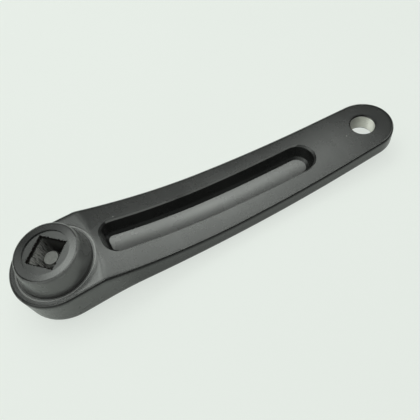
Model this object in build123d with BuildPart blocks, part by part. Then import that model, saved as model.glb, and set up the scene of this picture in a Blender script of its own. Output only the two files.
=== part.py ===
"""Left crank arm of a bicycle: a dished forging with a pocketed inner face.

Millimetres. The origin is on the spindle axis, in the inner face of the boss.
+Z points along the spindle towards the frame, +X towards the pedal axis.
"""
from build123d import *
import os
from math import acos, asin, cos, degrees, radians, sin, sqrt, tan

# Arm, seen along the spindle
crank_length = 170.0  # spindle axis to pedal axis
boss_end_radius = 21.5  # round end about the spindle
pedal_end_radius = 15.8  # round end about the pedal axis
side_radius = 7000.0  # the long sides bow out very slightly

# Arm, seen from the side: heights are measured down from the inner face of the boss
flange_drop = 9.9  # flat shelf around the boss
boss_thickness = 28.0  # inner face to outer face at the spindle
pedal_drop = 29.4  # inner face at the pedal
pedal_thickness = 11.0  # wall that the pedal screws into
level_length = 20.0  # level run from the pedal axis towards the boss
dish_radius_pedal = 586.0  # gentle bend beside the level run
dish_bend_pedal = 6.6  # degrees turned by the gentle bend
dish_radius_boss = 262.0  # tighter bend that climbs to the boss
outer_radius_arm = 656.0  # hollow bend of the outer face
outer_radius_boss = 100.0  # rounded bend where the outer face leaves the boss
crown_radius = 190.0  # the inner face is slightly round across the arm
inner_edge_radius = 1.2
outer_edge_radius = 3.6
ridge_radius = 4.0  # soft crease between shelf and arm

# Boss on the inner side
boss_face_radius = 14.6  # before its shoulder is rounded
boss_shoulder_radius = 1.4
boss_foot_radius = 17.4
foot_groove_depth = 0.4  # narrow groove around the foot, below the shelf
bead_radius = 18.4  # low bead around the groove
bead_height = 0.25
bead_foot_radius = 18.9
bead_chamfer = 0.2
recess_radius = 10.7  # shallow recess around the square
recess_depth = 0.7

# Square taper socket, extractor recess and bolt
square_side = 12.9  # across the flats at the mouth
square_taper = 2.0  # degrees on each flat
square_corner = 0.6  # corners of the square are cut off
square_lead = 0.4  # small lead-in around the mouth
extractor_radius = 10.5  # core of the M22 x 1 thread
extractor_depth = 9.5
extractor_chamfer = 1.0
washer_radius = 8.9
washer_thickness = 1.5
bolt_radius = 4.0  # M8 x 1
bolt_clearance = 0.25  # washer hole around the bolt
bolt_tip_drop = 6.0  # end of the bolt below the inner face
bolt_tip_chamfer = 0.8
bolt_head_radius = 6.5
bolt_head_height = 6.0
bolt_head_chamfer = 0.8
bolt_flange_radius = 8.2
bolt_flange_thickness = 1.8
hex_key_size = 8.0  # across the flats of the key socket
hex_key_depth = 4.5

# Pocket in the inner face
pocket_half_width = 9.0  # at the rim
pocket_depth = 7.0
pocket_draft = 23.0  # degrees that the walls lean out
pocket_floor_chamfer = 1.1  # slant between wall and floor
pocket_rim_depth = 0.75  # height of the slanted rim
pocket_corner_radius = 6.8  # the end beside the boss has two corners, the other end is round
pocket_ridge_gap = 3.4  # ridge to the rim of the pocket
pocket_pedal_gap = 32.8  # rim of the pocket to the pedal axis

# Pedal hole
pedal_bore_radius = 6.45  # core of the 9/16 inch thread
pedal_chamfer = 0.7
spot_face_radius = 12.0
spot_face_depth = 0.4

# Cutting room past the faces that a cut goes through
past = 3.0

# Levels and end points that follow from the sizes above
flange_z = -flange_drop
outer_z = -boss_thickness
pedal_z = -pedal_drop
pedal_outer_z = pedal_z - pedal_thickness
seat_z = outer_z + extractor_depth
far_x = crank_length + pedal_end_radius + past
near_x = -boss_end_radius - past
level_x = crank_length - level_length

# The dish of the inner face is two bends: centres, and the joint between them
bend = radians(dish_bend_pedal)
pedal_bend_x = level_x
pedal_bend_z = pedal_z + dish_radius_pedal
joint_x = pedal_bend_x - dish_radius_pedal * sin(bend)
boss_bend_x = joint_x + dish_radius_boss * sin(bend)
boss_bend_z = pedal_bend_z - (dish_radius_pedal - dish_radius_boss) * cos(bend)


def boss_bend_angle(x):
    """Slope of the inner face, in degrees, at a place on the bend beside the boss."""
    return degrees(asin((boss_bend_x - x) / dish_radius_boss))


def pedal_bend_angle(x):
    """Slope of the inner face, in degrees, at a place on the bend beside the pedal."""
    return degrees(asin((pedal_bend_x - x) / dish_radius_pedal))


def inner_height(x):
    """Height of the inner face on the arm's middle line."""
    if x > level_x:
        return pedal_z
    if x > joint_x:
        return pedal_bend_z - sqrt(dish_radius_pedal**2 - (pedal_bend_x - x) ** 2)
    return min(flange_z, boss_bend_z - sqrt(dish_radius_boss**2 - (boss_bend_x - x) ** 2))


def crown_sag(y):
    """How far the inner face falls away from the arm's middle line."""
    return crown_radius - sqrt(crown_radius**2 - y**2)


# The shelf meets the dished face in a ridge, and the pocket starts beside it
ridge_x = boss_bend_x - sqrt(dish_radius_boss**2 - (boss_bend_z - flange_z) ** 2)
pocket_start_x = ridge_x + pocket_ridge_gap + pocket_corner_radius
pocket_end_x = crank_length - pocket_pedal_gap - pocket_half_width

# The outer face drops from boss to pedal in an S of two tangent bends
outer_drop = outer_z - pedal_outer_z
outer_bend = degrees(acos(1 - outer_drop / (outer_radius_arm + outer_radius_boss)))

# Centre and tangent points of the bowed side
boss_reach = side_radius - boss_end_radius
pedal_reach = side_radius - pedal_end_radius
side_x = (crank_length**2 + boss_reach**2 - pedal_reach**2) / (2 * crank_length)
side_y = -sqrt(boss_reach**2 - side_x**2)
boss_tangent_x = side_x - side_x * side_radius / boss_reach
boss_tangent_y = side_y - side_y * side_radius / boss_reach
pedal_tangent_x = side_x + (crank_length - side_x) * side_radius / pedal_reach
pedal_tangent_y = side_y - side_y * side_radius / pedal_reach


def on_outline(point):
    """Whether a point lies on the arm's outline, seen along the spindle."""
    if point.X < boss_tangent_x:
        return abs(Vector(point.X, point.Y).length - boss_end_radius) < 0.01
    if point.X > pedal_tangent_x:
        return abs(Vector(point.X - crank_length, point.Y).length - pedal_end_radius) < 0.01
    return abs(Vector(point.X - side_x, abs(point.Y) - side_y).length - side_radius) < 0.01


def outline_edges(builder, inner_side):
    """Edges that run round the arm's outline, along its inner or its outer face."""
    chosen = ShapeList()
    for edge in builder.edges():
        middle = edge @ 0.5
        upright = abs((edge % 0.5).Z) > 0.9
        near_inner_face = inner_height(middle.X) - middle.Z < pedal_thickness / 2
        if on_outline(middle) and on_outline(edge @ 0) and not upright and near_inner_face == inner_side:
            chosen.append(edge)
    return chosen


def pocket_profile(plane, half_width):
    """Cross section of the pocket, standing on a plane whose Y points out of the face."""
    lean = tan(radians(pocket_draft))
    flare = tan(radians((90 + pocket_draft) / 2))
    floor_half = half_width - pocket_depth * lean
    wall_half = half_width - pocket_rim_depth * lean
    mouth_half = wall_half + (pocket_rim_depth + past) * flare
    with BuildSketch(plane) as profile:
        with BuildLine():
            Polyline(
                (-mouth_half, past),
                (-wall_half, -pocket_rim_depth),
                (-floor_half, -pocket_depth),
                (floor_half, -pocket_depth),
                (wall_half, -pocket_rim_depth),
                (mouth_half, past),
                close=True,
            )
        make_face()
        chamfer(profile.vertices().group_by(Axis.Y)[0], pocket_floor_chamfer)
    return profile.sketch


os.makedirs("parts", exist_ok=True)

with BuildPart() as crank_arm:
    # Outline along the spindle
    with BuildSketch(Plane.XY.offset(pedal_outer_z - past)):
        with BuildLine() as outline:
            long_side = RadiusArc(
                (boss_tangent_x, boss_tangent_y), (pedal_tangent_x, pedal_tangent_y), side_radius
            )
            ThreePointArc(long_side @ 1, (crank_length + pedal_end_radius, 0), (pedal_tangent_x, -pedal_tangent_y))
            RadiusArc((pedal_tangent_x, -pedal_tangent_y), (boss_tangent_x, -boss_tangent_y), side_radius)
            ThreePointArc((boss_tangent_x, -boss_tangent_y), (-boss_end_radius, 0), long_side @ 0)
        make_face()
    extrude(amount=flange_z - pedal_outer_z + past)

    # Outer face
    with BuildSketch(Plane.XZ):
        with BuildLine():
            start = Line((far_x, 0), (far_x, pedal_outer_z))
            level = Line(start @ 1, (level_x, pedal_outer_z))
            hollow = JernArc(level @ 1, (-1, 0), outer_radius_arm, -outer_bend)
            round_off = JernArc(hollow @ 1, hollow % 1, outer_radius_boss, outer_bend)
            face = Line(round_off @ 1, (near_x, outer_z))
            Polyline(face @ 1, (near_x, 0), start @ 0)
        make_face()
    extrude(amount=boss_end_radius + past, both=True, mode=Mode.INTERSECT)

    # Crowned and dished inner face
    with BuildLine(Plane.XZ) as dish:
        steepest = boss_bend_angle(near_x)
        CenterArc(
            (boss_bend_x, boss_bend_z), dish_radius_boss, 270 - steepest, steepest - dish_bend_pedal
        )
        CenterArc((pedal_bend_x, pedal_bend_z), dish_radius_pedal, 270 - dish_bend_pedal, dish_bend_pedal)
        Line((level_x, pedal_z), (far_x, pedal_z))
    half_span = boss_end_radius + past
    span_depth = boss_thickness + pedal_drop
    with BuildSketch(Plane(dish.line @ 0, x_dir=(0, 1, 0), z_dir=dish.line % 0)):
        with BuildLine():
            crown = ThreePointArc(
                (-half_span, -crown_sag(half_span)), (0, 0), (half_span, -crown_sag(half_span))
            )
            Polyline(crown @ 1, (half_span, -span_depth), (-half_span, -span_depth), crown @ 0)
        make_face()
    sweep(path=dish.line, mode=Mode.INTERSECT)

    # Soft crease between shelf and arm, then the rounded edges all round
    ridge = crank_arm.edges().sort_by_distance((ridge_x, 0, flange_z))[0]
    fillet(ridge, ridge_radius)
    fillet(outline_edges(crank_arm, inner_side=True), inner_edge_radius)
    fillet(outline_edges(crank_arm, inner_side=False), outer_edge_radius)

    # Boss with its shoulder, standing in a narrow groove with a low bead around it
    groove_z = flange_z - foot_groove_depth
    bead_z = flange_z + bead_height
    with BuildSketch(Plane.XY.offset(flange_z)):
        Circle(bead_foot_radius)
    extrude(amount=-foot_groove_depth, mode=Mode.SUBTRACT)
    with BuildSketch(Plane.XZ) as boss:
        with BuildLine():
            Polyline(
                (0, 0),
                (boss_face_radius, 0),
                (boss_foot_radius, groove_z),
                (bead_radius, bead_z),
                (bead_foot_radius, flange_z),
                (bead_foot_radius, groove_z),
                (0, groove_z),
                close=True,
            )
        make_face()
        fillet(boss.vertices().sort_by_distance((boss_face_radius, 0))[0], boss_shoulder_radius)
        chamfer(boss.vertices().sort_by_distance((bead_radius, bead_z))[0], bead_chamfer)
    revolve(axis=Axis.Z)

    # Drafted pocket: its section swept along the dish
    start_slope = boss_bend_angle(pocket_start_x)
    end_slope = pedal_bend_angle(pocket_end_x)
    with BuildLine(Plane.XZ) as pocket_line:
        CenterArc(
            (boss_bend_x, boss_bend_z), dish_radius_boss, 270 - start_slope, start_slope - dish_bend_pedal
        )
        CenterArc(
            (pedal_bend_x, pedal_bend_z), dish_radius_pedal, 270 - dish_bend_pedal, dish_bend_pedal - end_slope
        )
    start_plane = Plane(pocket_line.line @ 0, x_dir=(0, 1, 0), z_dir=pocket_line.line % 0)
    end_plane = Plane(pocket_line.line @ 1, x_dir=(0, 1, 0), z_dir=pocket_line.line % 1)
    sweep(pocket_profile(start_plane, pocket_half_width), path=pocket_line.line, mode=Mode.SUBTRACT)

    # Round end of the pocket beside the pedal
    with BuildSketch(end_plane):
        add(pocket_profile(Plane.XY, pocket_half_width))
        split(bisect_by=Plane.YZ, keep=Keep.BOTTOM)
    revolve(axis=Axis(end_plane.origin, end_plane.y_dir), revolution_arc=180, mode=Mode.SUBTRACT)

    # Squarer end beside the boss: an end wall and two corners
    end_wall_half = pocket_half_width - pocket_corner_radius
    with BuildSketch(Plane(start_plane.origin, x_dir=-start_plane.z_dir, z_dir=(0, 1, 0))):
        add(pocket_profile(Plane.XY, pocket_corner_radius))
        split(bisect_by=Plane.YZ, keep=Keep.TOP)
    extrude(amount=end_wall_half, both=True, mode=Mode.SUBTRACT)
    for side in (1, -1):
        corner = start_plane.origin + Vector(0, side * end_wall_half, 0)
        with BuildSketch(Plane(corner, x_dir=(0, side, 0), z_dir=start_plane.z_dir * side)):
            add(pocket_profile(Plane.XY, pocket_corner_radius))
            split(bisect_by=Plane.YZ, keep=Keep.TOP)
        revolve(axis=Axis(corner, start_plane.y_dir * side), revolution_arc=90, mode=Mode.SUBTRACT)

    # Square taper socket in its shallow recess, open to the extractor recess behind it
    with BuildSketch(Plane.XY):
        Circle(recess_radius)
    extrude(amount=-recess_depth, mode=Mode.SUBTRACT)
    mouth_z = -recess_depth
    with BuildSketch(Plane.XY.offset(mouth_z)) as square:
        Rectangle(square_side, square_side, rotation=45)
        chamfer(square.vertices(), square_corner)
    extrude(amount=seat_z - mouth_z, taper=square_taper, mode=Mode.SUBTRACT)
    mouth = crank_arm.faces().filter_by(Axis.Z).group_by(lambda f: abs(f.center().Z - mouth_z))[0]
    chamfer(mouth.face().inner_wires()[0].edges(), square_lead)
    with BuildSketch(Plane.XZ):
        with BuildLine():
            Polyline(
                (0, seat_z),
                (extractor_radius, seat_z),
                (extractor_radius, outer_z + extractor_chamfer),
                (extractor_radius + extractor_chamfer, outer_z),
                (extractor_radius + extractor_chamfer, outer_z - past),
                (0, outer_z - past),
                close=True,
            )
        make_face()
    revolve(axis=Axis.Z, mode=Mode.SUBTRACT)

    # Pedal hole, chamfered at both ends, with a spot face for the pedal's collar
    spot_z = pedal_outer_z + spot_face_depth
    chamfer_radius = pedal_bore_radius + pedal_chamfer
    with BuildSketch(Plane.XZ):
        with BuildLine():
            Polyline(
                (crank_length, pedal_z + past),
                (crank_length + chamfer_radius, pedal_z + past),
                (crank_length + chamfer_radius, pedal_z),
                (crank_length + pedal_bore_radius, pedal_z - pedal_chamfer),
                (crank_length + pedal_bore_radius, spot_z + pedal_chamfer),
                (crank_length + chamfer_radius, spot_z),
                (crank_length + spot_face_radius, spot_z),
                (crank_length + spot_face_radius, spot_z - past),
                (crank_length, spot_z - past),
                close=True,
            )
        make_face()
    revolve(axis=Axis((crank_length, 0, 0), (0, 0, 1)), mode=Mode.SUBTRACT)

crank_arm.part.label = "crank_arm"
export_step(crank_arm.part, "parts/crank_arm.step")

# Plain washer on the seat behind the square
with BuildPart() as bolt_washer:
    with BuildSketch(Plane.XY.offset(seat_z)):
        Circle(washer_radius)
        Circle(bolt_radius + bolt_clearance, mode=Mode.SUBTRACT)
    extrude(amount=-washer_thickness)

bolt_washer.part.label = "bolt_washer"
export_step(bolt_washer.part, "parts/bolt_washer.step")

# Flanged bolt with a key socket, its end standing in the square
head_z = seat_z - washer_thickness
head_end_z = head_z - bolt_head_height
tip_z = -bolt_tip_drop
flange_end_z = head_z - bolt_flange_thickness
with BuildPart() as crank_bolt:
    with BuildSketch(Plane.XZ):
        with BuildLine():
            Polyline(
                (0, tip_z),
                (bolt_radius - bolt_tip_chamfer, tip_z),
                (bolt_radius, tip_z - bolt_tip_chamfer),
                (bolt_radius, head_z),
                (bolt_flange_radius, head_z),
                (bolt_flange_radius, flange_end_z),
                (bolt_head_radius, flange_end_z),
                (bolt_head_radius, head_end_z + bolt_head_chamfer),
                (bolt_head_radius - bolt_head_chamfer, head_end_z),
                (0, head_end_z),
                close=True,
            )
        make_face()
    revolve(axis=Axis.Z)
    with BuildSketch(Plane.XY.offset(head_end_z)):
        RegularPolygon(hex_key_size / 2, 6, major_radius=False)
    extrude(amount=hex_key_depth, mode=Mode.SUBTRACT)

crank_bolt.part.label = "crank_bolt"
export_step(crank_bolt.part, "parts/crank_bolt.step")
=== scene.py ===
"""Look of the crank arm: materials, threads, floor, lights and camera. Metres, in the part's own frame."""

from math import cos, pi, radians, sin

import bmesh
import bpy
from mathutils import Matrix, Vector

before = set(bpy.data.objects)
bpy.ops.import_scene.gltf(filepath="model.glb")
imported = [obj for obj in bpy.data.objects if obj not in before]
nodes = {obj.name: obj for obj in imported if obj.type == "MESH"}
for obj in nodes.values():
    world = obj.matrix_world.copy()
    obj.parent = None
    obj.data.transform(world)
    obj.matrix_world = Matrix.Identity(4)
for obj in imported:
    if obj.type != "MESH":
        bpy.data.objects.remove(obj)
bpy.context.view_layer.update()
scene = bpy.context.scene
MM = 0.001


class Shader:
    """A node tree with one Principled shader, and short ways to add nodes to it."""

    # Places of a Mix node's two inputs and its output, by the kind of value that it mixes
    MIX_SOCKETS = {"VECTOR": (4, 5, 1), "RGBA": (6, 7, 2)}

    def __init__(self, name):
        self.material = bpy.data.materials.new(name)
        self.material.use_nodes = True
        self.tree = self.material.node_tree
        self.surface = self.tree.nodes["Principled BSDF"]
        self.place = self.add("ShaderNodeTexCoord").outputs["Object"]

    def add(self, kind):
        """A new node."""
        return self.tree.nodes.new(kind)

    def put(self, socket, value):
        """Gives a socket a plain value, or a link from another node."""
        if isinstance(value, bpy.types.NodeSocket):
            self.tree.links.new(value, socket)
        else:
            socket.default_value = value

    def set(self, name, value):
        """Gives the Principled shader one of its values."""
        self.put(self.surface.inputs[name], value)

    def math(self, kind, a, b=0.0, c=0.0):
        """One step of arithmetic."""
        node = self.add("ShaderNodeMath")
        node.operation = kind
        for socket, value in zip(node.inputs, (a, b, c)):
            self.put(socket, value)
        return node.outputs[0]

    def all_of(self, *masks):
        """The product of masks: 1 where each of them is 1."""
        product = masks[0]
        for mask in masks[1:]:
            product = self.math("MULTIPLY", product, mask)
        return product

    def any_of(self, *masks):
        """The largest of masks: 1 where one of them is 1."""
        largest = masks[0]
        for mask in masks[1:]:
            largest = self.math("MAXIMUM", largest, mask)
        return largest

    def over(self, value, limit):
        """1 where a value is larger than a limit."""
        return self.math("GREATER_THAN", value, limit)

    def under(self, value, limit):
        """1 where a value is smaller than a limit."""
        return self.math("LESS_THAN", value, limit)

    def near(self, value, middle, reach):
        """1 where a value is within reach of a middle."""
        return self.math("COMPARE", value, middle, reach)

    def size_of(self, value):
        """A value without its sign."""
        return self.math("ABSOLUTE", value)

    def spread(self, value, low, high, to_low, to_high):
        """A value carried smoothly from one range to another."""
        node = self.add("ShaderNodeMapRange")
        node.interpolation_type = "SMOOTHSTEP"
        for socket, number in zip(node.inputs, (value, low, high, to_low, to_high)):
            self.put(socket, number)
        return node.outputs[0]

    def rise(self, value, low, high):
        """0 up to low and 1 from high on."""
        return self.spread(value, low, high, 0, 1)

    def fade(self, value, low, high):
        """1 up to low and 0 from high on."""
        return self.spread(value, low, high, 1, 0)

    def between(self, factor, a, b):
        """A number that goes from a to b as the factor goes from 0 to 1."""
        return self.spread(factor, 0, 1, a, b)

    def noise(self, size, detail, rough=0.55, stretch=(1, 1, 1)):
        """Noise from 0 to 1 whose lumps are about the given size in metres."""
        mapping = self.add("ShaderNodeMapping")
        mapping.inputs["Scale"].default_value = Vector(stretch) / size
        self.put(mapping.inputs["Vector"], self.place)
        node = self.add("ShaderNodeTexNoise")
        node.inputs["Scale"].default_value = 1.0
        node.inputs["Detail"].default_value = detail
        node.inputs["Roughness"].default_value = rough
        self.put(node.inputs["Vector"], mapping.outputs[0])
        return node.outputs["Fac"]

    def speck(self, spacing, size):
        """1 in a few small scattered spots."""
        node = self.add("ShaderNodeTexVoronoi")
        node.inputs["Scale"].default_value = 1 / spacing
        self.put(node.inputs["Vector"], self.place)
        return self.under(node.outputs["Distance"], size / spacing)

    def mixed(self, kind, factor, a, b):
        """A value of some kind between a and b."""
        node = self.add("ShaderNodeMix")
        node.data_type = kind
        first, second, result = self.MIX_SOCKETS[kind]
        self.put(node.inputs[0], factor)
        self.put(node.inputs[first], a)
        self.put(node.inputs[second], b)
        return node.outputs[result]

    def mix(self, factor, a, b):
        """A colour between a and b, each a link or three numbers."""
        ends = [c if isinstance(c, bpy.types.NodeSocket) else (*c, 1) for c in (a, b)]
        return self.mixed("RGBA", factor, *ends)

    def blend(self, factor, a, b):
        """A direction between a and b."""
        return self.mixed("VECTOR", factor, a, b)

    def parts(self, vector):
        """The three parts of a vector."""
        node = self.add("ShaderNodeSeparateXYZ")
        self.put(node.inputs[0], vector)
        return node.outputs

    def radius(self, x, y):
        """Distance from an upright axis."""
        return self.math("SQRT", self.math("MULTIPLY_ADD", x, x, self.math("MULTIPLY", y, y)))

    def facing(self):
        """The direction that the surface faces."""
        return self.add("ShaderNodeNewGeometry").outputs["Normal"]

    def bump(self, height, depth, normal=None):
        """A normal bent by a height, where a height of 1 stands for a depth in metres."""
        node = self.add("ShaderNodeBump")
        node.inputs["Strength"].default_value = 1.0
        node.inputs["Distance"].default_value = depth
        self.put(node.inputs["Height"], height)
        if normal is not None:
            self.put(node.inputs["Normal"], normal)
        return node.outputs[0]


# Round places on the arm: radius, lower height and upper height
PEDAL_BORE = (7.6 * MM, -39.35 * MM, -30.7 * MM)
TOOL_BORE = (11.3 * MM, -27.05 * MM, -18.35 * MM)
SOCKET = (9.6 * MM, -18.6 * MM, -0.85 * MM)
CONE = (18 * MM, -8.9 * MM, 0.3 * MM)
SOFT_BORDER = 0.06 * MM

# Other places on the arm. A pair is the start and the end of a soft border.
PEDAL_X = 170 * MM
CONE_SHOULDER = (13.9 * MM, 14.4 * MM)
BEAD_INSIDE = (18.0 * MM, 18.2 * MM)
BEAD_OUTSIDE = (18.7 * MM, 18.9 * MM)
BEAD_FOOT = (-10.6 * MM, -10.2 * MM)
POCKET_FLOOR_HALF = 6.2 * MM
POCKET_FLOOR_TOP = -17 * MM
POCKET_MIDDLE_X = 79.5 * MM
POCKET_REACH = 56 * MM
RING_MIDDLE = 12.8 * MM
RING_REACH = 2.1 * MM
RING_LOWEST = -0.6 * MM

# Directions, as the upward part of the surface's facing
UPWARD = 0.9
DUST_SLOPE = 0.5
UPRIGHT = 0.4

# Rims of the long edges, which carry a painted highlight, by the upward and the sideways part of their
# facing
RIM_INNERMOST = 7.8 * MM
RIM_CHANGE = (9.8 * MM, 10.2 * MM)
POCKET_RIM_SLOPE = 0.73
OUTER_RIM_SLOPE = 0.90
RIM_LEVEL = (0.95, 0.98)
RIM_SIDEWAYS = (0.15, 0.3)

# Painted light: how strongly it lightens the boss's flank, and the near and far halves of the pocket's floor
FLANK_PAINTED_LIGHT = 0.58
FLANK_RANGE = (24 * MM, 40 * MM)
ARM_SIDE = 10 * MM
FLOOR_PAINTED_LIGHT = (0.28, 0.72)
FLOOR_PAINTED_LIGHT_RANGE = (-5 * MM, 5 * MM)

# Mouth of the square: the sum of |x| and |y| along its edge, and how far the ragged border of the painted
# shade in it wanders
MOUTH_EDGE = 9.69 * MM
MOUTH_HEIGHTS = (-1.2 * MM, -0.5 * MM)
RAGGED_REACH = 3.6 * MM
MOUTH_SHADE_INSET = 1.7 * MM
# Painted light on the socket's walls: its ragged top, how far that wanders, its fall across x, its streaks
# and its least share
SOCKET_LIGHT_TOP = (-2.9 * MM, -2.2 * MM)
SOCKET_LIGHT_WANDER = 3 * MM
SOCKET_LIGHT_RANGE_X = (-3 * MM, 2 * MM)
SOCKET_LIGHT_STREAKS = (0.30, 0.56)
LEAST_SOCKET_LIGHT = 0.05

# Outer edges: the radius that they seem to have at the boss and along the arm, and where they are
BOSS_EDGE_ROUND = 3.2 * MM
ARM_EDGE_ROUND = 1.9 * MM
EDGE_ROUND_RANGE = (12 * MM, 34 * MM)
EDGE_SAMPLES = 8
EDGE_SIDE = 10.4 * MM
EDGE_BOSS_X = 15 * MM
EDGE_TIP_X = 150 * MM
EDGE_OUTSIDE_BEAD = 19.7 * MM
EDGE_OUTSIDE_PEDAL = 9.2 * MM

# Shallow forms that the material makes
TROUGH_RADIUS = 38 * MM
RING_SLOPE = 0.11
BROACH_DEPTH = 0.12 * MM
PEEL_DEPTH = 0.004 * MM
GRAIN_DEPTH = 0.0012 * MM

# Noises of the coat and of the metal under it
CLOUD = dict(size=14 * MM, detail=4.0)
CLOUD_RANGE = (0.3, 0.7)
# The next four break up the painted highlights and the painted light into patches
HIGHLIGHT_CLOUD = (0.25, 0.6)
HIGHLIGHT_LEAST = 0.55
PATCH_CLOUD = (0.2, 0.8)
PATCH_LEAST = 0.85
NOISE_MIDDLE = 0.5
PEEL = dict(size=0.9 * MM, detail=2.0)
GRAIN = dict(size=0.12 * MM, detail=2.0, rough=0.6)
STREAKS = dict(size=0.5 * MM, detail=3.0, rough=0.65, stretch=(1, 1, 0.12))
RAGGEDNESS = dict(size=0.9 * MM, detail=3.0, rough=0.7)
BARE_CLOUD = dict(size=1.6 * MM, detail=3.0)
DUST_SPACING = 8 * MM
DUST_SIZE = 0.2 * MM

# Colours and roughness of the arm
COAT_DARK = (0.0060, 0.0063, 0.0060)
COAT_LIGHT = (0.0095, 0.0099, 0.0095)
# Painted highlights on the rims of the long edges and on the bead
RIM_HIGHLIGHT_COLOUR = (0.150, 0.150, 0.148)
BEAD_HIGHLIGHT_COLOUR = (0.230, 0.230, 0.226)
# Painted light on the boss's cone and flank and on the pocket's floor
PAINTED_LIGHT_COLOUR = (0.162, 0.161, 0.160)
DUST_COLOUR = (0.42, 0.42, 0.40)
# Painted shade at the square's mouth
MOUTH_SHADE_COLOUR = (0.003, 0.003, 0.003)
SOCKET_DARK = (0.012, 0.010, 0.009)
# Painted light on the socket's walls
SOCKET_LIT = (0.80, 0.79, 0.77)
BARE_DARK = (0.80, 0.80, 0.74)
BARE_LIGHT = (0.90, 0.90, 0.84)
COAT_SPECULAR = 0.82
COAT_ROUGHNESS = (0.25, 0.29)
SOCKET_ROUGHNESS = 0.6
BARE_ROUGHNESS = 0.38


class ArmShader(Shader):
    """Satin black coat over the forging, bare metal in the two threads, rough dark metal in the socket."""

    def __init__(self):
        super().__init__("black_coat")
        self.x, self.y, self.z = self.parts(self.place)
        _, self.tilt_y, self.tilt_z = self.parts(self.facing())
        self.off_middle = self.size_of(self.y)
        self.from_spindle = self.radius(self.x, self.y)
        self.from_pedal = self.radius(self.math("SUBTRACT", self.x, PEDAL_X), self.y)
        self.cloud = self.noise(**CLOUD)
        self.streaks = self.noise(**STREAKS)
        self.raggedness = self.noise(**RAGGEDNESS)
        pedal_thread = self.within(self.from_pedal, *PEDAL_BORE)
        tool_thread = self.within(self.from_spindle, *TOOL_BORE)
        self.bare = self.any_of(pedal_thread, tool_thread)
        self.socket = self.within(self.from_spindle, *SOCKET)
        self.upward = self.over(self.tilt_z, UPWARD)
        self.pocket_floor = self.all_of(
            self.upward,
            self.under(self.off_middle, POCKET_FLOOR_HALF),
            self.near(self.x, POCKET_MIDDLE_X, POCKET_REACH),
            self.under(self.z, POCKET_FLOOR_TOP),
        )
        self.mouth_shade = self.painted_mouth_shade()

    def within(self, radius, limit, low, high):
        """1 inside a limit of radius between two heights, with a soft border."""
        return self.all_of(
            self.fade(radius, limit - SOFT_BORDER, limit + SOFT_BORDER),
            self.rise(self.z, low - SOFT_BORDER, low + SOFT_BORDER),
            self.fade(self.z, high - SOFT_BORDER, high + SOFT_BORDER),
        )

    def painted_mouth_shade(self):
        """Where painted shade darkens the square's mouth, with a ragged border."""
        square = self.math("ADD", self.size_of(self.x), self.off_middle)
        ragged = self.math("MULTIPLY_ADD", self.raggedness, -RAGGED_REACH, square)
        return self.within(ragged, MOUTH_EDGE - MOUTH_SHADE_INSET, *MOUTH_HEIGHTS)

    def lit_socket_walls(self):
        """Painted light on the socket's walls, in streaks: strongest away from the pedal, and only below a
        ragged border, so that the dark metal near the mouth stays as painted shade.
        """
        wander = self.math("SUBTRACT", self.raggedness, NOISE_MIDDLE)
        ragged = self.math("MULTIPLY_ADD", wander, SOCKET_LIGHT_WANDER, self.z)
        return self.all_of(
            self.rise(self.streaks, *SOCKET_LIGHT_STREAKS),
            self.spread(self.x, *SOCKET_LIGHT_RANGE_X, 1, LEAST_SOCKET_LIGHT),
            self.fade(ragged, *SOCKET_LIGHT_TOP),
        )

    def rims(self):
        """The slanted rims of the long edges, where a painted highlight runs."""
        slope = self.spread(self.off_middle, *RIM_CHANGE, POCKET_RIM_SLOPE, OUTER_RIM_SLOPE)
        return self.all_of(
            self.over(self.tilt_z, slope),
            self.fade(self.tilt_z, *RIM_LEVEL),
            self.rise(self.size_of(self.tilt_y), *RIM_SIDEWAYS),
            self.over(self.off_middle, RIM_INNERMOST),
        )

    def bead(self):
        """The low bead around the foot of the boss, where a painted highlight runs."""
        return self.all_of(
            self.rise(self.from_spindle, *BEAD_INSIDE),
            self.fade(self.from_spindle, *BEAD_OUTSIDE),
            self.rise(self.z, *BEAD_FOOT),
        )

    def painted_light_zones(self):
        """Where painted light lightens the coat: on the boss's cone, on its flank, and on the pocket's
        floor, more on its far half.
        """
        cone = self.all_of(
            self.within(self.from_spindle, *CONE),
            self.rise(self.from_spindle, *CONE_SHOULDER),
        )
        outside = self.any_of(
            self.under(self.from_spindle, FLANK_RANGE[0]),
            self.over(self.off_middle, ARM_SIDE),
        )
        flank = self.all_of(
            self.under(self.size_of(self.tilt_z), UPRIGHT),
            outside,
            self.spread(self.from_spindle, *FLANK_RANGE, FLANK_PAINTED_LIGHT, 0),
        )
        floor = self.all_of(self.pocket_floor, self.spread(self.y, *FLOOR_PAINTED_LIGHT_RANGE, *FLOOR_PAINTED_LIGHT))
        return self.any_of(cone, flank, floor)

    def coat_colour(self):
        """Black with a cloudy tone, painted highlights on the rims and the bead, painted light on the boss's
        cone and flank and on the pocket's floor, specks of dust, and painted shade at the square's mouth.
        """
        coat = self.mix(self.rise(self.cloud, *CLOUD_RANGE), COAT_DARK, COAT_LIGHT)
        highlight_breakup = self.spread(self.cloud, *HIGHLIGHT_CLOUD, HIGHLIGHT_LEAST, 1)
        # Painted highlights along the rims and the bead, broken up by a cloud
        coat = self.mix(self.all_of(self.rims(), highlight_breakup), coat, RIM_HIGHLIGHT_COLOUR)
        coat = self.mix(self.all_of(self.bead(), highlight_breakup), coat, BEAD_HIGHLIGHT_COLOUR)
        patchy = self.spread(self.cloud, *PATCH_CLOUD, PATCH_LEAST, 1)
        # Painted light on the boss's cone and flank and on the pocket's floor, in patches
        coat = self.mix(self.all_of(self.painted_light_zones(), patchy), coat, PAINTED_LIGHT_COLOUR)
        dust = self.all_of(self.speck(DUST_SPACING, DUST_SIZE), self.over(self.tilt_z, DUST_SLOPE))
        coat = self.mix(dust, coat, DUST_COLOUR)
        # Painted shade at the square's mouth
        return self.mix(self.mouth_shade, coat, MOUTH_SHADE_COLOUR)

    def colour(self):
        """The coat, the socket's metal and the bare metal of the threads, each in its place."""
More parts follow.
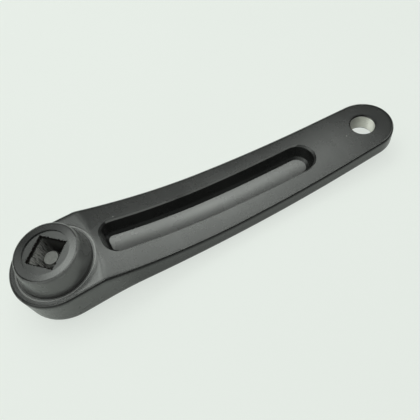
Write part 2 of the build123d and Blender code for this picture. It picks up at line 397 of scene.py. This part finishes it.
        # The socket's dark metal, with streaks of painted light on its walls
        socket_metal = self.mix(self.lit_socket_walls(), SOCKET_DARK, SOCKET_LIT)
        bare_metal = self.mix(self.noise(**BARE_CLOUD), BARE_DARK, BARE_LIGHT)
        dark_parts = self.mix(self.socket, self.coat_colour(), socket_metal)
        return self.mix(self.bare, dark_parts, bare_metal)

    def roughness(self):
        """Satin on the coat, dull in the socket and at its mouth, medium in the threads."""
        coat = self.spread(self.cloud, *CLOUD_RANGE, *COAT_ROUGHNESS)
        dark_parts = self.between(self.any_of(self.socket, self.mouth_shade), coat, SOCKET_ROUGHNESS)
        return self.between(self.bare, dark_parts, BARE_ROUGHNESS)

    def soft_edges(self):
        """The surface's facing, with the long outer edges rounded off under the coat."""
        rounded = self.add("ShaderNodeBevel")
        rounded.samples = EDGE_SAMPLES
        reach = self.spread(self.x, *EDGE_ROUND_RANGE, BOSS_EDGE_ROUND, ARM_EDGE_ROUND)
        self.put(rounded.inputs["Radius"], reach)
        rim_zone = self.any_of(
            self.over(self.off_middle, EDGE_SIDE),
            self.over(self.x, EDGE_TIP_X),
            self.under(self.x, EDGE_BOSS_X),
        )
        outer = self.all_of(
            rim_zone,
            self.over(self.from_spindle, EDGE_OUTSIDE_BEAD),
            self.over(self.from_pedal, EDGE_OUTSIDE_PEDAL),
        )
        return self.blend(outer, self.facing(), rounded.outputs[0])

    def skin(self):
        """Broach marks in the socket, and the fine peel and grain of the coat."""
        skin = self.bump(self.all_of(self.streaks, self.socket), BROACH_DEPTH, self.soft_edges())
        skin = self.bump(self.noise(**PEEL), PEEL_DEPTH, skin)
        return self.bump(self.noise(**GRAIN), GRAIN_DEPTH, skin)

    def normal(self):
        """The skin, with a shallow trough in the pocket's floor and a boss face that falls away outwards."""
        skin = self.skin()
        across = self.math("DIVIDE", self.math("MINIMUM", self.off_middle, POCKET_FLOOR_HALF), MM)
        square = self.math("MULTIPLY", across, across)
        trough = self.bump(square, MM * MM / (2 * TROUGH_RADIUS), skin)
        outward = self.math("DIVIDE", self.from_spindle, MM)
        fall = self.bump(outward, -RING_SLOPE * MM, skin)
        ring = self.all_of(
            self.upward,
            self.near(self.from_spindle, RING_MIDDLE, RING_REACH),
            self.over(self.z, RING_LOWEST),
        )
        return self.blend(ring, self.blend(self.pocket_floor, skin, trough), fall)


def black_coat():
    """The arm's material. The painted shade at the square's mouth is set as black metal, so that it gives
    back hardly any light.
    """
    arm = ArmShader()
    arm.set("Base Color", arm.colour())
    # Black metal where the painted shade lies at the square's mouth, so that it gives back hardly any light
    arm.set("Metallic", arm.any_of(arm.bare, arm.mouth_shade))
    arm.set("Specular IOR Level", COAT_SPECULAR)
    arm.set("Roughness", arm.roughness())
    arm.set("Normal", arm.normal())
    return arm.material


STEEL_CLOUD = dict(size=1.5 * MM, detail=4.0)
ROUGHNESS_CHANGE = 0.06
TURNING_PITCH = 0.22 * MM
TURNING_DEPTH = 0.002 * MM


def steel(name, light, dark, rough):
    """Plain steel with a faint turned grain."""
    metal = Shader(name)
    cloud = metal.noise(**STEEL_CLOUD)
    x, y, _ = metal.parts(metal.place)
    rings = metal.math("SINE", metal.math("MULTIPLY", metal.radius(x, y), 2 * pi / TURNING_PITCH))
    metal.set("Base Color", metal.mix(metal.rise(cloud, *CLOUD_RANGE), dark, light))
    metal.set("Metallic", 1.0)
    smoothest = rough - ROUGHNESS_CHANGE
    roughest = rough + ROUGHNESS_CHANGE
    metal.set("Roughness", metal.spread(cloud, *CLOUD_RANGE, smoothest, roughest))
    metal.set("Normal", metal.bump(rings, TURNING_DEPTH))
    return metal.material


BOLT_LIGHT = (0.165, 0.165, 0.160)
BOLT_DARK = (0.105, 0.105, 0.102)
BOLT_ROUGHNESS = 0.5
WASHER_LIGHT = (0.55, 0.55, 0.54)
WASHER_DARK = (0.42, 0.42, 0.41)
WASHER_ROUGHNESS = 0.38

bolt_steel = steel("bolt_steel", BOLT_LIGHT, BOLT_DARK, BOLT_ROUGHNESS)
washer_steel = steel("washer_steel", WASHER_LIGHT, WASHER_DARK, WASHER_ROUGHNESS)
nodes["crank_arm"].data.materials[0] = black_coat()
nodes["crank_bolt"].data.materials[0] = bolt_steel
nodes["bolt_washer"].data.materials[0] = washer_steel


def coil(centre, low, high, pitch, base, tip, steps, hand):
    """A coiled ridge whose base and tip each have a radius and a width, in so many steps to a turn."""
    corners = [
        (base[0], -base[1] / 2),
        (tip[0], -tip[1] / 2),
        (tip[0], tip[1] / 2),
        (base[0], base[1] / 2),
    ]
    form = bmesh.new()
    rings = []
    for i in range(int((high - low) / pitch * steps) + 1):
        turn = hand * 2 * pi * i / steps
        height = low + pitch * i / steps
        points = [(centre + r * cos(turn), r * sin(turn), height + dz) for r, dz in corners]
        rings.append([form.verts.new(point) for point in points])
    for ring, after in zip(rings, rings[1:]):
        for k in range(len(corners)):
            form.faces.new((ring[k], ring[k - 1], after[k - 1], after[k]))
    form.faces.new(rings[0])
    form.faces.new(rings[-1][::-1])
    bmesh.ops.recalc_face_normals(form, faces=form.faces)
    return form


def thread_cutter(name, **sizes):
    """A hidden object that cuts a thread."""
    mesh = bpy.data.meshes.new(name)
    form = coil(**sizes)
    form.to_mesh(mesh)
    form.free()
    cutter = bpy.data.objects.new(name, mesh)
    cutter.hide_render = True
    scene.collection.objects.link(cutter)
    return cutter


# Points closer than a sliver are merged. A kept direction is 1 long, and that of a new face is 0 long.
SLIVER = 0.001 * MM
KEPT_LENGTH = 0.5


class ThreadTree:
    """A geometry node tree that cuts threads and keeps a piece's own shading outside the cuts."""

    def __init__(self, name):
        self.tree = bpy.data.node_groups.new(name, "GeometryNodeTree")
        for way in ("INPUT", "OUTPUT"):
            self.tree.interface.new_socket("Geometry", in_out=way, socket_type="NodeSocketGeometry")
        self.start = self.add("NodeGroupInput")
        self.end = self.add("NodeGroupOutput")
        self.facing = self.add("GeometryNodeInputNormal", legacy_corner_normals=False)

    def add(self, kind, **settings):
        """A new node with its settings."""
        node = self.tree.nodes.new(kind)
        for name, value in settings.items():
            setattr(node, name, value)
        return node

    def join(self, output, socket):
        """A link from an output to an input."""
        self.tree.links.new(output, socket)

    def keep_facing(self, mesh):
        """The mesh with the direction of each face corner kept, and that direction."""
        kept = self.add("GeometryNodeCaptureAttribute", domain="CORNER")
        kept.capture_items.new("VECTOR", "facing")
        self.join(mesh, kept.inputs[0])
        self.join(self.facing.outputs["Normal"], kept.inputs[1])
        return kept.outputs[0], kept.outputs[1]

    def cut(self, mesh, cutters):
        """The mesh with the cutters taken out of it, and with no slivers at the cuts."""
        cut = self.add("GeometryNodeMeshBoolean", operation="DIFFERENCE", solver="EXACT")
        self.join(mesh, cut.inputs["Mesh 1"])
        for cutter in cutters:
            tool = self.add("GeometryNodeObjectInfo", transform_space="RELATIVE")
            tool.inputs["Object"].default_value = cutter
            self.join(tool.outputs["Geometry"], cut.inputs["Mesh 2"])
        merged = self.add("GeometryNodeMergeByDistance")
        merged.inputs["Distance"].default_value = SLIVER
        self.join(cut.outputs["Mesh"], merged.inputs[0])
        return merged.outputs[0]

    def own_where_new(self, kept):
        """The kept direction, or the face's own where a new face has none."""
        length = self.add("ShaderNodeVectorMath", operation="LENGTH")
        self.join(kept, length.inputs[0])
        new = self.add("FunctionNodeCompare", operation="LESS_THAN")
        new.inputs[1].default_value = KEPT_LENGTH
        self.join(length.outputs["Value"], new.inputs[0])
        choice = self.add("GeometryNodeSwitch", input_type="VECTOR")
        self.join(new.outputs[0], choice.inputs["Switch"])
        self.join(kept, choice.inputs["False"])
        self.join(self.facing.outputs["True Normal"], choice.inputs["True"])
        return choice.outputs[0]

    def shade(self, mesh, direction):
        """The mesh with its edges marked sharp, so that each face corner is free to have its direction."""
        sharp = self.add("GeometryNodeSetShadeSmooth", domain="EDGE")
        sharp.inputs["Shade Smooth"].default_value = False
        self.join(mesh, sharp.inputs[0])
        shaded = self.add("GeometryNodeSetMeshNormal", mode="FREE", domain="CORNER")
        self.join(sharp.outputs[0], shaded.inputs["Mesh"])
        self.join(direction, shaded.inputs["Custom Normal"])
        return shaded.outputs[0]


def cut_threads(piece, *cutters):
    """The threads as a modifier on a CAD piece."""
    steps = ThreadTree(piece.name + "_threads")
    mesh, kept = steps.keep_facing(steps.start.outputs[0])
    mesh = steps.cut(mesh, cutters)
    mesh = steps.shade(mesh, steps.own_where_new(kept))
    steps.join(mesh, steps.end.inputs[0])
    piece.modifiers.new("threads", "NODES").node_group = steps.tree


LEFT_HAND = -1
RIGHT_HAND = 1

pedal_cutter = thread_cutter(
    "pedal_cutter",
    centre=PEDAL_X,
    low=-41.5 * MM,
    high=-28 * MM,
    pitch=1.27 * MM,
    base=(6.3 * MM, 1.16 * MM),
    tip=(7.02 * MM, 0.22 * MM),
    steps=72,
    hand=LEFT_HAND,
)
tool_cutter = thread_cutter(
    "tool_cutter",
    centre=0,
    low=-29 * MM,
    high=-19.6 * MM,
    pitch=1 * MM,
    base=(10.4 * MM, 0.92 * MM),
    tip=(10.98 * MM, 0.16 * MM),
    steps=96,
    hand=RIGHT_HAND,
)
bolt_cutter = thread_cutter(
    "bolt_cutter",
    centre=0,
    low=-18.2 * MM,
    high=-5.2 * MM,
    pitch=1 * MM,
    base=(4.1 * MM, 0.92 * MM),
    tip=(3.42 * MM, 0.16 * MM),
    steps=48,
    hand=RIGHT_HAND,
)
cut_threads(nodes["crank_arm"], pedal_cutter, tool_cutter)
cut_threads(nodes["crank_bolt"], bolt_cutter)

# The arm rests on the outer edge of its boss and on the belly of its outer face
REST_SLOPE = -0.0893
REST_Z = -29.61 * MM
FLOOR_HALF = 3.0
FLOOR_CLOUD = dict(size=0.15, detail=2.0)
FLOOR_DARK = (0.82, 0.866, 0.82)
FLOOR_LIGHT = (0.84, 0.886, 0.84)
FLOOR_ROUGHNESS = 0.8
FLOOR_SPECULAR = 0.1

# How much of the floor's colour is its own glow, to the camera and in reflections, and how strong
SEEN_GLOW = 0.78
MIRRORED_GLOW = 0.47
SEEN_STRENGTH = 1.0
MIRRORED_STRENGTH = 0.85


def table_top():
    """A pale material, lighter to the eye than its shadows make it."""
    table = Shader("table_top")
    pale = table.mix(table.noise(**FLOOR_CLOUD), FLOOR_DARK, FLOOR_LIGHT)
    table.set("Base Color", pale)
    table.set("Roughness", FLOOR_ROUGHNESS)
    table.set("Specular IOR Level", FLOOR_SPECULAR)
    ray = table.add("ShaderNodeLightPath").outputs
    mirrored = ray["Is Glossy Ray"]
    glow = table.add("ShaderNodeEmission")
    table.put(glow.inputs["Color"], pale)
    table.put(glow.inputs["Strength"], table.between(mirrored, SEEN_STRENGTH, MIRRORED_STRENGTH))
    in_mirror = table.math("MULTIPLY", mirrored, MIRRORED_GLOW)
    share = table.math("MULTIPLY_ADD", ray["Is Camera Ray"], SEEN_GLOW, in_mirror)
    both = table.add("ShaderNodeMixShader")
    table.put(both.inputs[0], share)
    table.put(both.inputs[1], table.surface.outputs[0])
    table.put(both.inputs[2], glow.outputs[0])
    table.put(table.tree.nodes["Material Output"].inputs["Surface"], both.outputs[0])
    return table.material


def rest_floor():
    """A table top under the part, in the plane that it rests on."""
    mesh = bpy.data.meshes.new("floor")
    corners = [
        (sx * FLOOR_HALF, sy * FLOOR_HALF, REST_Z + REST_SLOPE * sx * FLOOR_HALF)
        for sx, sy in ((-1, -1), (1, -1), (1, 1), (-1, 1))
    ]
    mesh.from_pydata(corners, [], [(0, 1, 2, 3)])
    mesh.materials.append(table_top())
    floor = bpy.data.objects.new("floor", mesh)
    scene.collection.objects.link(floor)


rest_floor()

# Rows of soft boxes round the table: height in degrees, watts each, width in metres, azimuths in degrees.
# The light comes from above and from behind the part, and the side of the camera stays dark.
LIGHT_ROWS = {
    "overhead": (80, 0.34, 0.36, (0, 90, 180, 270)),
    "high": (70, 0.38, 0.30, (5, 65, 108, 138)),
    "upper": (62, 0.34, 0.28, (8, 100, 112, 143)),
    "key": (55, 0.22, 0.22, (36, 50, 58, 64)),
    "behind": (54, 0.12, 0.22, (84, 96)),
    "middle": (46, 0.16, 0.26, (0, 50, 110, 145)),
    "back": (38, 0.20, 0.28, (76, 135)),
    "left": (54, 0.15, 0.36, (180, 215)),
    "left_low": (32, 0.22, 0.36, (190, 220)),
    "table_level": (12, 0.10, 0.36, (0, 90, 190, 210, 290)),
}
LIGHT_TINT = (0.945, 1.0, 0.945)
LIGHT_AIM = Vector((80, 0, -30)) * MM
LIGHT_DISTANCE = 0.9


def soft_box(name, azimuth, height, power, width):
    """A round soft box that faces the part."""
    light = bpy.data.lights.new(name, "AREA")
    light.shape = "DISK"
    light.size = width
    light.energy = power
    light.color = LIGHT_TINT
    lamp = bpy.data.objects.new(name, light)
    around = radians(azimuth)
    above = radians(height)
    outward = Vector((cos(around) * cos(above), sin(around) * cos(above), sin(above)))
    lamp.location = LIGHT_AIM + outward * LIGHT_DISTANCE
    lamp.rotation_euler = outward.to_track_quat("Z", "Y").to_euler()
    scene.collection.objects.link(lamp)


for row, (height, power, width, azimuths) in LIGHT_ROWS.items():
    for azimuth in azimuths:
        soft_box(f"{row}_{azimuth}", azimuth, height, power, width)

ROOM_TINT = (0.96, 1.0, 0.96, 1)
ROOM_LEVEL = 0.08
ROOM_LEVEL_SEEN = 0.85


def studio_world():
    """A dim room that looks pale to the camera."""
    world = bpy.data.worlds.new("studio")
    scene.world = world
    world.use_nodes = True
    tree = world.node_tree
    room = tree.nodes["Background"]
    room.inputs["Color"].default_value = ROOM_TINT
    ray = tree.nodes.new("ShaderNodeLightPath")
    level = tree.nodes.new("ShaderNodeMapRange")
    level.inputs["To Min"].default_value = ROOM_LEVEL
    level.inputs["To Max"].default_value = ROOM_LEVEL_SEEN
    tree.links.new(ray.outputs["Is Camera Ray"], level.inputs["Value"])
    tree.links.new(level.outputs[0], room.inputs["Strength"])


studio_world()

# Camera at the photograph's place. The angles, in degrees, say where it stands from what it looks at, and
# how far it is rolled. The focal length is in pixels of a picture of this width.
CAMERA_PLACE = Vector((40.96, -121.14, 159.98)) * MM
CAMERA_AZIMUTH = -105.837
CAMERA_HEIGHT = 56.898
CAMERA_ROLL = -14.785
FOCAL_PIXELS = 450
PICTURE_WIDTH = 420
SENSOR_WIDTH = 36
NEAREST_SEEN = 0.01


def photo_camera():
    """The camera of the scene."""
    camera = bpy.data.cameras.new("camera")
    camera.sensor_width = SENSOR_WIDTH
    camera.lens = SENSOR_WIDTH * FOCAL_PIXELS / PICTURE_WIDTH
    camera.clip_start = NEAREST_SEEN
    eye = bpy.data.objects.new("camera", camera)
    around = Matrix.Rotation(radians(CAMERA_AZIMUTH + 90), 4, "Z")
    down = Matrix.Rotation(radians(90 - CAMERA_HEIGHT), 4, "X")
    roll = Matrix.Rotation(radians(CAMERA_ROLL), 4, "Z")
    eye.matrix_world = Matrix.Translation(CAMERA_PLACE) @ around @ down @ roll
    scene.collection.objects.link(eye)
    scene.camera = eye


photo_camera()
scene.view_settings.view_transform = "Standard"
